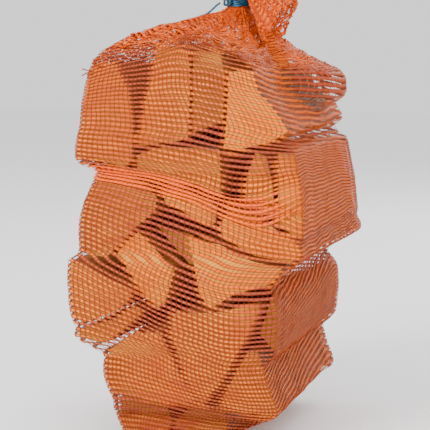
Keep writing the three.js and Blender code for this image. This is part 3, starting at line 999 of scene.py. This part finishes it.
def net_material(settings, name, thread, lines=1):
    """Glossy orange plastic, thin enough that the wood behind lights it up.

    Each cell between two threads has a painted highlight in its middle, and the tapes' edges are darkened
    with painted shade, as in the gaps between tapes; a tape is also painted lit orange with wood close
    behind it and darker over a gap."""
    alpha = THREAD_OPACITY if thread else settings.opacity
    surface = Surface(name, Roughness=0.38, Specular_IOR_Level=0.1, Alpha=alpha)
    near, tone_and_shade, _ = surface.parts(surface.attribute("behind"))
    lapped, side, _ = surface.parts(surface.attribute("lie"))
    cloudy = surface.noise((12, 12, 12), 2)
    fine = surface.noise((260, 260, 260), 2)
    if thread:
        # Painted shade: a thread is painted darker where a gap is behind it.
        colour = surface.mix(near * 0.6 + fine * 0.4, shade(settings.thread, 0.45), settings.thread)
        colour = surface.mix(lapped * 0.6, colour, settings.lapped)
        surface.feed("Base Color", surface.mix(side * 0.8, colour, settings.side_thread))
        return surface.material
    along, over, _ = surface.parts(surface.strip_map())
    patches = surface.noise((26, 26, 40), 3)
    cell = 0.5 - 0.5 * (along * (2 * math.pi * COLUMNS)).cosine()
    middle = 0.5 - 0.5 * (over * (2 * math.pi * lines)).cosine()
    streaks = surface.noise((38, 38, 120), 3, 0.6, (0, 0.5, 0))
    # Painted light and shade: the tape's colour goes from the gap's painted shade to lit orange as wood
    # comes close behind it, following that wood's tone and painted shade.
    lit = (near * (0.12 + tone_and_shade * 0.75 + (streaks - 0.5) * 0.55)).limited(0, 1)
    shaded = surface.mix(lit, settings.over_gap_shade, settings.over_wood)
    # Painted highlights: glints painted in the middle of each cell, patchy, weaker over gaps and on the
    # right side.
    bright = (cloudy * 0.6 + streaks * 0.4).limited(0.4, 0.62)
    spots = (cell * middle) ** 2 * bright * (0.3 + near * 0.7) * (1 - side * 0.75)
    colour = surface.mix(spots * 0.8, shaded, settings.painted_glint)
    colour = surface.mix(lapped * 0.75, colour, settings.lapped)
    # Painted shade: the tapes' edges are darkened towards the thread colour, as shade in the gaps between
    # tapes, more strongly on the right side, which is in shade.
    edge = (1 - middle) ** 2 * (0.3 + 0.75 * cloudy) * (1 + side * 0.9) * (1 - lapped * 0.5)
    surface.feed("Base Color", surface.mix(edge.limited(0, 1), colour, settings.thread))
    shows = near * tone_and_shade.limited(0.55, 0.95) * patches.limited(0.46, 0.6)
    surface.feed("Alpha", settings.opacity + 0.2 * (1 - near) + 0.25 * lapped - 0.28 * shows)
    surface.bump(middle * 0.5 + cell * 0.3 + fine * 0.4, 0.5 * MM, 0.5)
    return surface.material


def wood_material(settings):
    """Beech: rings on the sawn ends, fibres on the split faces, grey bark."""
    surface = Surface("beech_wood", Roughness=0.75, Specular_IOR_Level=0.25)
    radius, sawn, bark = surface.parts(surface.attribute("grain"))
    tone_and_shade = surface.value(surface.attribute("tone_and_shade", "Fac"))
    blotch = surface.noise((14, 14, 14), 3)
    waviness = surface.noise((30, 30, 30), 2)
    ring_turn = 2 * math.pi / settings.ring_spacing
    rings = (radius * ring_turn + waviness * 5).sine().limited(-0.6, 1.0)
    pores = surface.noise((700, 60, 700), 2, 0.6)
    saw_marks = surface.noise((40, 40, 420), 2, turn=(0, math.radians(20), 0))
    fibres = surface.noise((260, 9, 260), 4, 0.65)
    streaks = surface.noise((70, 4, 70), 3, 0.6)
    end_colour = surface.mix(rings * 0.55, settings.sawn, shade(settings.sawn, 0.8))
    end_colour = surface.mix(pores.limited(0.52, 0.75) * 0.35, end_colour, shade(settings.sawn, 0.55))
    end_colour = surface.mix(blotch.limited(0.35, 0.7) * 0.35, end_colour, settings.stain)
    # Partly painted shade: logs with a low tone, from their own colour and from lying back or low in
    # shade, get darker sawn ends.
    end_colour = surface.mix((1 - tone_and_shade) * 0.65, end_colour, settings.dim_and_shaded)
    side_colour = surface.mix(streaks.limited(0.3, 0.7), shade(settings.split, 1.22), settings.split)
    side_colour = surface.mix(fibres.limited(0.48, 0.72) * 0.6, side_colour, shade(settings.split, 0.62))
    scales = surface.noise((90, 40, 90), 4, 0.6)
    bark_colour = surface.mix(scales.limited(0.35, 0.65), settings.bark, shade(settings.bark, 2.1))
    wood = surface.mix(sawn, side_colour, end_colour)
    surface.feed("Base Color", surface.mix(bark, wood, bark_colour))
    height = fibres * (1 - sawn) + (saw_marks * 0.35 + pores * 0.2) * sawn + scales * bark
    surface.bump(height, 0.8 * MM, 0.7)
    surface.feed("Roughness", (bark * 0.12 + blotch * 0.15 + 0.62).limited(0, 1))
    return surface.material


def twine_material(settings):
    """Blue plastic twine: two strands laid round each other."""
    surface = Surface("blue_twine", Roughness=0.42, IOR=1.48)
    length, turn, _ = surface.parts(surface.strip_map())
    lay = (length * 180 + turn * 2 * math.pi).sine().limited(-0.9, 0.9)
    hairs = surface.noise((900, 900, 900), 2)
    # Painted shade and light: the lay is painted darker in the grooves between the strands and paler on
    # their crowns.
    groove_shade, pale = shade(settings.colour, 0.4), shade(settings.colour, 1.5)
    surface.feed("Base Color", surface.mix((lay * 0.7 + hairs * 0.3).limited(0.1, 0.9), groove_shade, pale))
    surface.bump(lay + hairs * 0.4, 0.4 * MM, 0.8)
    return surface.material


# Pieces

def split_log(node, settings, material):
    """One log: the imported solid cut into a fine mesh, with fibres on its split faces."""
    work = merged_copy(node)
    sharp = [edge for edge in work.edges if edge.calc_face_angle(0) > SHARP_EDGE]
    bmesh.ops.bevel(
        work, geom=sharp, offset=settings.edge, segments=2, affect="EDGES", profile=0.5, material=-1,
        clamp_overlap=True,
    )
    low, high = (Vector(corner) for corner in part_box(node))
    for axis in (0, 2, 1):
        step = settings.cell * (CELLS_ALONG if axis == 1 else 1)
        count = max(2, round((high[axis] - low[axis]) / step))
        direction = Vector([1.0 if k == axis else 0.0 for k in range(3)])
        for cut in range(1, count):
            place = low + direction * ((high[axis] - low[axis]) * cut / count)
            everything = work.verts[:] + work.edges[:] + work.faces[:]
            bmesh.ops.bisect_plane(
                work, geom=everything, plane_co=place, plane_no=direction, dist=0.05 * MM,
            )
    mesh = bpy.data.meshes.new(node + "_wood")
    work.normal_update()
    work.to_mesh(mesh)
    work.free()
    carve(mesh, node, low, high, settings)
    return placed(mesh, node.replace("log_", "beech_"), material, node)


def ramped(value, start, width):
    """0 up to the start, then rising to 1 over the width."""
    return min(1, max(0, (value - start) / width))


def carve(mesh, node, low, high, settings):
    """Presses fibres into the split faces, and notes ring radius, sawn end and bark on each point."""
    tone_and_shade, angle, has_bark = LOGS[node]
    swell = SWELL_MM.get(node, 0) * MM
    outwards = Vector((math.cos(math.radians(angle)), 0, math.sin(math.radians(angle))))
    pith = (low + high) / 2 - outwards * PITH_SHARE * max(high.x - low.x, high.z - low.z)
    points = coordinates(mesh)
    grain = np.zeros((len(points), 3), np.float32)
    seed = Vector((13.7, 5.1, 9.3)) * (1 + LOG_NODES.index(node))
    for index, vertex in enumerate(mesh.vertices):
        place, normal = vertex.co, vertex.normal
        end = ramped(abs(normal.y), 0.35, 0.3)
        bark = ramped(normal.dot(outwards), 0.55, 0.1) * (1 - end) if has_bark else 0.0
        fine = noise.fractal(Vector((place.x * 190, place.y * 7, place.z * 190)) + seed, 0.9, 2.0, 3)
        coarse = noise.noise(Vector((place.x * 42, place.y * 3.5, place.z * 42)) + seed)
        wood = (1 - end) * (1 - bark) * settings.fibre_depth * (0.45 * fine + 0.75 * coarse - 0.5)
        rough = bark * BARK_DEPTH * (noise.fractal(place * 120 + seed, 1.0, 2.0, 3) - 0.6)
        ends = end * SAW_DEPTH * noise.noise(place * 60 + seed)
        shift = normal * min(MOST_PROUD, wood + rough + ends)
        along = (place.y - low.y) / (high.y - low.y)
        shift.z += swell * math.sin(math.pi * along) * max(0, normal.z) * (1 - end)
        points[index] = place + shift
        grain[index] = (math.hypot(place.x - pith.x, place.z - pith.z), end, bark)
    set_coordinates(mesh, points)
    mesh.attributes.new("grain", "FLOAT_VECTOR", "POINT").data.foreach_set("vector", grain.ravel())
    # Each point keeps its log's tone, which is partly painted shade.
    tones_and_shades = np.full(len(points), tone_and_shade, np.float32)
    mesh.attributes.new("tone_and_shade", "FLOAT", "POINT").data.foreach_set("value", tones_and_shades)
    mesh.shade_smooth()


def net_strips(name, lines, columns, keep_rows, place, notes, thickness, material):
    """Strips of net from one flat grid: the gaps are taken out, the rest is laid on the drape.

    place turns the grid's line and column numbers into points, and notes turns them into what is
    behind each point and how the net lies there. keep_rows says whether the strips run round the
    sack (every other row of faces stays) or up it (every other column stays)."""
    work = bmesh.new()
    work.loops.layers.uv.new("strips")
    bmesh.ops.create_grid(work, x_segments=columns, y_segments=lines, size=0.5, calc_uvs=True)
    axis, cells = (1, lines) if keep_rows else (0, columns)
    gaps = [
        face for face in work.faces
        if math.floor((face.calc_center_median()[axis] + 0.5) * cells) % 2
    ]
    bmesh.ops.delete(work, geom=gaps, context="FACES")
    mesh = bpy.data.meshes.new(name)
    work.to_mesh(mesh)
    flat = coordinates(mesh)
    column = np.rint((flat[:, 0] + 0.5) * columns).astype(int)
    line = np.rint((flat[:, 1] + 0.5) * lines).astype(int)
    set_coordinates(mesh, place(line, column))
    for attribute, pair in zip(("behind", "lie"), notes(line, column)):
        values = np.zeros((len(flat), 3), np.float32)
        values[:, :2] = pair
        mesh.attributes.new(attribute, "FLOAT_VECTOR", "POINT").data.foreach_set("vector", values.ravel())
    work.clear()
    work.from_mesh(mesh)
    bmesh.ops.remove_doubles(work, verts=work.verts, dist=0.002 * MM)
    work.to_mesh(mesh)
    work.free()
    mesh.shade_smooth()
    piece = placed(mesh, name, material, "net_sack")
    wall = piece.modifiers.new("tape_thickness", "SOLIDIFY")
    wall.thickness = thickness
    wall.offset = 0
    wall.use_rim = True
    return piece


def weft_tapes(name, weave, first, last, settings, material):
    """The flat tapes that run round the sack, each with its lower edge a little proud."""
    drape = weave.drape
    rows, lift = weave.line(first, last)
    count = len(rows)
    spacing = drape.sample(drape.spacing, rows)
    narrow = 1 - WANDER_NARROWS * np.abs(wander(count, 40, 0.9, 3.3 + first))
    rows_after = np.concatenate([rows[1:], rows[-1:] + 1])
    pitch = np.abs(rows_after - rows) * spacing
    near = drape.sample(drape.wood, rows)[..., 0]
    upright = (first + np.arange(count) < weave.fold_to + UPRIGHT_PAST_FOLD)[:, None]
    free = settings.free_share + LEFT_FILLS * weave.left
    free = free + weave.right * np.where(upright, RIGHT_FILLS_UPRIGHT, RIGHT_FILLS_ABOVE)
    share = free + (settings.flat_share - free) * near
    slack = weave.slack[first:last]
    narrow *= 1 - LAP_NARROWS * weave.lap[first:last] * (slack < 0.5)
    widest = settings.tape_width * (1 + RIGHT_WIDENS * weave.right * upright)
    half = 0.5 * np.minimum(widest * narrow, share * np.maximum(pitch, MM)) / spacing
    roll = (EDGE_ROLL + SLACK_ROLL * slack) * wander(count, 60, 0.8, 4.4 + first)
    roll -= RIGHT_ROLL * weave.right[None, :]
    edges, lifts = [], []
    for tape in range(count):
        edges += [rows[tape] - half[tape], rows[tape] + half[tape]]
        lifts += [lift[tape] + EDGE_PROUD + roll[tape], lift[tape] - EDGE_PROUD - roll[tape]]
    edges = np.clip(np.array(edges), 0, drape.last_row)
    lifted = np.array(lifts)[..., None] * drape.sample(drape.normals, edges)
    points = drape.sample(drape.points, edges) + lifted
    wood = drape.sample(drape.wood, edges)

    def place(line, column):
        return points[line, column % COLUMNS]

    def notes(line, column):
        column = column % COLUMNS
        lie = np.stack([weave.lap[first + line // 2, column], weave.right[column]], axis=1)
        return wood[line, column], lie

    return net_strips(
        name, 2 * count - 1, COLUMNS, True, place, notes, settings.tape_thickness, material,
    )


def warp_threads(name, weave, first, last, settings, material):
    """The thin threads that run up the sack and lie on the tapes."""
    drape = weave.drape
    rows, lift = weave.line(first, last)
    across = drape.sample(drape.across, rows)
    lifted = (lift + THREAD_PROUD)[..., None] * drape.sample(drape.normals, rows)
    points = drape.sample(drape.points, rows) + lifted
    sway = THREAD_SWAY * wander(len(rows), 80, 0.6, 6.1)
    strips = np.empty((len(rows), 2 * COLUMNS, 3))
    strips[:, 0::2] = points + (sway - settings.thread_width / 2)[..., None] * across
    strips[:, 1::2] = points + (sway + settings.thread_width / 2)[..., None] * across
    wood = drape.sample(drape.wood, rows)

    def place(line, column):
        return strips[line, column]

    def notes(line, column):
        column = column // 2
        lie = np.stack([weave.lap[first + line, column], weave.right[column]], axis=1)
        return wood[line, column], lie

    return net_strips(
        name, len(rows) - 1, 2 * COLUMNS - 1, False, place, notes, settings.tape_thickness, material,
    )


def frays(weave, settings, material):
    """Loose ends of broken threads, in tufts on the shoulders of the net."""
    drape = weave.drape
    work = bmesh.new()
    for tuft, (row, column, count, reach, out) in enumerate(TUFTS):
        for thread in range(count):
            turn = 2.4 * thread + tuft
            foot = drape.points[drape.tent_start + row + thread % 3, (column + thread) % COLUMNS]
            spread = np.array((math.sin(turn), math.cos(1.7 * turn), math.sin(2.3 * turn)))
            bend = np.array((math.cos(turn), math.sin(1.3 * turn), math.cos(2.1 * turn)))
            points = []
            for step in range(FRAY_STEPS + 1):
                share = step / FRAY_STEPS
                way = share * (np.array(out) + 0.55 * spread) + 0.45 * share**2 * bend
                points.append(foot + reach * MM * way)
            mesh = as_mesh(twine_curve("fray", points, FRAY_WIDTHS * settings.thread_width), "fray")
            work.from_mesh(mesh)
            bpy.data.meshes.remove(mesh)
    mesh = bpy.data.meshes.new("net_frays")
    work.to_mesh(mesh)
    work.free()
    # The frays are painted as if wood were close behind them, without a gap's painted shade.
    values = np.tile(np.array((0.9, 0.8, 0), np.float32), len(mesh.vertices))
    mesh.attributes.new("behind", "FLOAT_VECTOR", "POINT").data.foreach_set("vector", values)
    mesh.shade_smooth()
    return placed(mesh, "net_frays", material, "net_sack")


def twine_curve(name, points, diameter):
    """A round curve through points."""
    curve = bpy.data.curves.new(name, "CURVE")
    curve.dimensions = "3D"
    curve.bevel_depth = diameter / 2
    curve.bevel_resolution = 3
    curve.use_fill_caps = True
    spline = curve.splines.new("POLY")
    spline.points.add(len(points) - 1)
    for spot, point in zip(spline.points, points):
        spot.co = (*point, 1)
    return curve


def through(points, per_span):
    """Points on a smooth curve through the given ones."""
    points = [Vector(point) for point in points]
    ends = [2 * points[0] - points[1], *points, 2 * points[-1] - points[-2]]
    result = []
    for before, start, end, after in zip(ends, ends[1:], ends[2:], ends[3:]):
        for step in range(per_span):
            t = step / per_span
            result.append(0.5 * (
                2 * start + (end - before) * t + (2 * before - 5 * start + 4 * end - after) * t**2
                + (3 * start - before - 3 * end + after) * t**3
            ))
    return [*result, points[-1]]


def as_mesh(curve, name):
    """A curve's tube as a mesh."""
    carrier = bpy.data.objects.new(name, curve)
    bpy.context.scene.collection.objects.link(carrier)
    bpy.context.view_layer.update()
    mesh = bpy.data.meshes.new_from_object(carrier.evaluated_get(bpy.context.evaluated_depsgraph_get()))
    bpy.data.objects.remove(carrier)
    mesh.name = name
    return mesh


# Operators

class FIREWOOD_OT_logs(bpy.types.Operator):
    """Makes the split beech logs"""

    bl_idname = "firewood.logs"
    bl_label = "Logs"

    def execute(self, context):
        settings = context.scene.firewood_wood
        material = wood_material(settings)
        for node in LOG_NODES:
            split_log(node, settings, material)
        return {"FINISHED"}


class FIREWOOD_OT_net(bpy.types.Operator):
    """Drapes the woven net over the logs and gathers it at the neck"""

    bl_idname = "firewood.net"
    bl_label = "Net"

    def execute(self, context):
        settings = context.scene.firewood_net
        weave = Weave(Drape(settings.slack))
        thread = net_material(settings, "orange_thread", True)
        half = weave.count // 2
        parts = (
            ("lower", 0, half, settings.lower_length),
            ("upper", half, weave.count, settings.upper_length),
        )
        for name, first, last, length in parts:
            tape = net_material(settings, "orange_tape_" + name, False, 2 * (last - first) - 1)
            tapes = weft_tapes("net_tapes_" + name, weave, first, last, settings, tape)
            end = last + (name == "lower")
            threads = warp_threads("net_threads_" + name, weave, first, end, settings, thread)
            loose = [threads] if name == "lower" else [threads, frays(weave, settings, thread)]
        return {"FINISHED"}


class FIREWOOD_OT_tie(bpy.types.Operator):
    """Winds the twine round the neck and knots it"""

    bl_idname = "firewood.tie"
    bl_label = "Tie"

    def execute(self, context):
        settings = context.scene.firewood_twine
        material = twine_material(settings)
        radius = NECK_RADIUS + TURN_GAP + settings.diameter / 2
        points = []
        for step in range(settings.turns * TURN_STEPS + 1):
            turn = step / TURN_STEPS
            angle = 2 * math.pi * turn + KNOT_DIRECTION
            lean = TURN_LEAN * math.sin(angle + 0.7)
            rise = (turn - settings.turns / 2) * settings.diameter * TURN_PITCH + lean
            points.append(NECK + Vector((radius * math.cos(angle), radius * math.sin(angle), rise)))
        mesh = as_mesh(twine_curve("twine_turns", points, settings.diameter), "twine_turns")
        placed(mesh, "twine_turns", material, "neck_tie")
        outwards = Vector((math.cos(KNOT_DIRECTION), math.sin(KNOT_DIRECTION), 0))
        middle = NECK + outwards * (radius + KNOT_OUT)
        loop = []
        for step in range(KNOT_STEPS + 1):
            angle = 3 * math.pi * step / KNOT_STEPS
            loop.append(middle + Vector((
                KNOT_WIDE * math.sin(angle) + 1.2 * MM * math.sin(3 * angle),
                KNOT_DEEP * math.cos(2 * angle) - 0.6 * MM,
                KNOT_TALL * math.cos(angle) * (1 + 0.2 * math.sin(2 * angle)),
            )))
        knot = as_mesh(twine_curve("twine_knot", loop, settings.diameter * 1.1), "twine_knot")
        placed(knot, "twine_knot", material, "neck_tie")
        return {"FINISHED"}


class FIREWOOD_OT_twine_end(bpy.types.Operator):
    """Lays the loose end of the twine on the net"""

    bl_idname = "firewood.twine_end"
    bl_label = "Twine end"

    def execute(self, context):
        settings = context.scene.firewood_twine
        route = [Vector(point) * MM + SHIFT for point in TWINE_ROUTE_MM]
        points = through(route, ROUTE_STEPS)
        curve = twine_curve("twine_end_cord", points, settings.diameter)
        length = sum((b - a).length for a, b in zip(points, points[1:]))
        piece = placed(curve, "twine_end_cord", twine_material(settings), "twine_end")
        return {"FINISHED"}


class FIREWOOD_OT_stage(bpy.types.Operator):
    """Sets the camera, the floor and the soft light"""

    bl_idname = "firewood.stage"
    bl_label = "Stage"

    def execute(self, context):
        settings = context.scene.firewood_stage
        turn, rise = settings.azimuth, settings.elevation
        level = math.cos(rise)
        back = Vector((math.sin(turn) * level, -math.cos(turn) * level, math.sin(rise)))
        lens = bpy.data.cameras.new("camera")
        lens.lens = settings.lens
        lens.sensor_width = SENSOR_WIDTH
        camera = bpy.data.objects.new("camera", lens)
        camera.location = Vector((SHIFT.x, SHIFT.y, settings.aim_height)) + back * settings.distance
        camera.rotation_mode = "QUATERNION"
        camera.rotation_quaternion = (-back).to_track_quat("-Z", "Y")
        context.scene.collection.objects.link(camera)
        context.scene.camera = camera
        self.floor(context, settings)
        for name, (place, size, power) in LAMPS.items():
            self.lamp(context, name, Vector(place), size, power)
        world = context.scene.world or bpy.data.worlds.new("world")
        context.scene.world = world
        world.use_nodes = True
        background = world.node_tree.nodes["Background"]
        background.inputs["Color"].default_value = (1, 1, 1, 1)
        background.inputs["Strength"].default_value = WORLD_STRENGTH
        return {"FINISHED"}

    def floor(self, context, settings):
        """A pale plain floor."""
        work = bmesh.new()
        bmesh.ops.create_grid(work, x_segments=8, y_segments=8, size=FLOOR_SIZE)
        mesh = bpy.data.meshes.new("floor")
        work.to_mesh(mesh)
        work.free()
        surface = Surface("pale_floor", Roughness=0.9, Base_Color=(*settings.floor, 1))
        mesh.materials.append(surface.material)
        floor = bpy.data.objects.new("floor", mesh)
        context.scene.collection.objects.link(floor)

    def lamp(self, context, name, place, size, power):
        """A wide soft lamp aimed at the sack."""
        light = bpy.data.lights.new(name, "AREA")
        light.size = size
        light.energy = power
        lamp = bpy.data.objects.new(name, light)
        lamp.location = place
        lamp.rotation_mode = "QUATERNION"
        lamp.rotation_quaternion = (LAMP_AIM - place).to_track_quat("-Z", "Y")
        context.scene.collection.objects.link(lamp)


class FIREWOOD_PT_panel(bpy.types.Panel):
    """Lists the steps that build the sack"""

    bl_idname = "FIREWOOD_PT_panel"
    bl_label = "Firewood sack"
    bl_space_type = "VIEW_3D"
    bl_region_type = "UI"
    bl_category = "Firewood"

    def draw(self, context):
        for operator in OPERATORS:
            self.layout.operator(operator.bl_idname)


SETTINGS = {
    "firewood_net": NetSettings,
    "firewood_wood": WoodSettings,
    "firewood_twine": TwineSettings,
    "firewood_stage": StageSettings,
}
OPERATORS = (
    FIREWOOD_OT_stage,
    FIREWOOD_OT_twine_end,
    FIREWOOD_OT_tie,
    FIREWOOD_OT_logs,
    FIREWOOD_OT_net,
)


def register():
    for cls in (*SETTINGS.values(), *OPERATORS, FIREWOOD_PT_panel):
        bpy.utils.register_class(cls)
    for name, cls in SETTINGS.items():
        setattr(bpy.types.Scene, name, bpy.props.PointerProperty(type=cls))


def unregister():
    for name in SETTINGS:
        delattr(bpy.types.Scene, name)
    for cls in (FIREWOOD_PT_panel, *reversed(OPERATORS), *SETTINGS.values()):
        bpy.utils.unregister_class(cls)


def main():
    register()
    bpy.ops.firewood.stage()
    bpy.ops.firewood.twine_end()
    bpy.ops.firewood.tie()
    bpy.ops.firewood.logs()
    bpy.ops.firewood.net()


if __name__ == "__main__":
    main()
